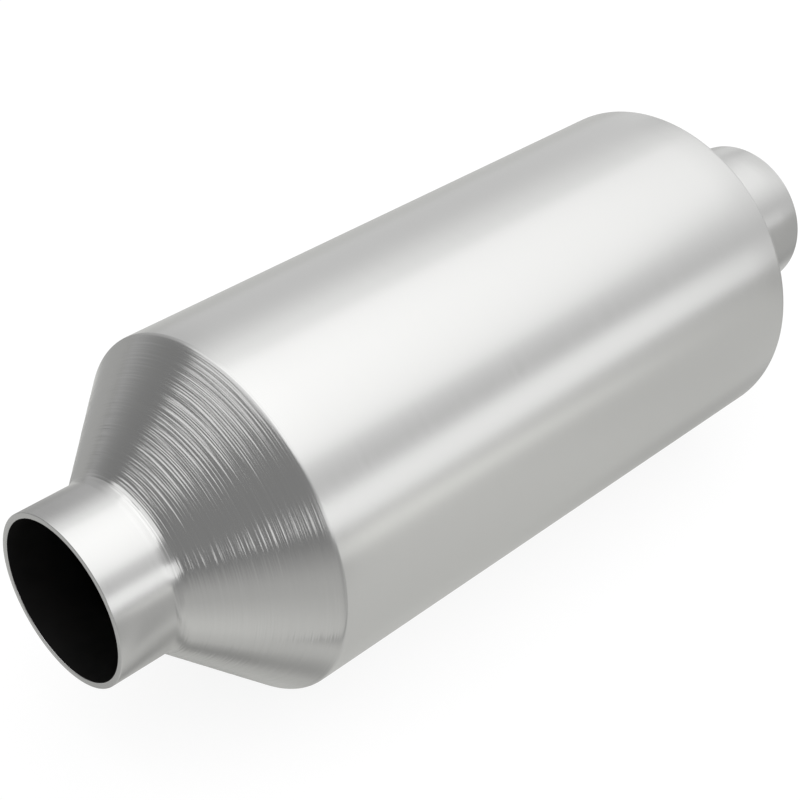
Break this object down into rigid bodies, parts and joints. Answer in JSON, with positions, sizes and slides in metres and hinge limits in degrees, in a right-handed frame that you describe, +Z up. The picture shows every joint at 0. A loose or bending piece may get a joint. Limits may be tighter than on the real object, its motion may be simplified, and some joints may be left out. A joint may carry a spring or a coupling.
{
  "type": "catalytic converter",
  "caption": "Round catalytic converter: a spun stainless housing with coned ends and slip-in pipe necks, holding ceramic honeycomb bricks in fibre mats.",
  "frame": {"origin": "centre of the inlet neck's mouth", "axes": "+X along the gas flow from the inlet mouth to the outlet mouth, +Z up"},
  "size_m": [0.353, 0.1302, 0.1302],
  "materials": {
    "spun_stainless": "brushed body, ring-grooved spun cones",
    "cordierite": "matt fired ceramic with a washcoat",
    "mat_fibre": "pressed ceramic fibre with mica flakes",
    "wire_rope": "knitted stainless wire"
  },
  "bodies": {
    "root": {"spun_housing": "spun_stainless", "inlet_monolith": "cordierite", "outlet_monolith": "cordierite", "inlet_mat": "mat_fibre", "outlet_mat": "mat_fibre", "inlet_mat_front_seal": "wire_rope", "inlet_mat_rear_seal": "wire_rope", "outlet_mat_front_seal": "wire_rope", "outlet_mat_rear_seal": "wire_rope"}
  },
  "joints": []
}
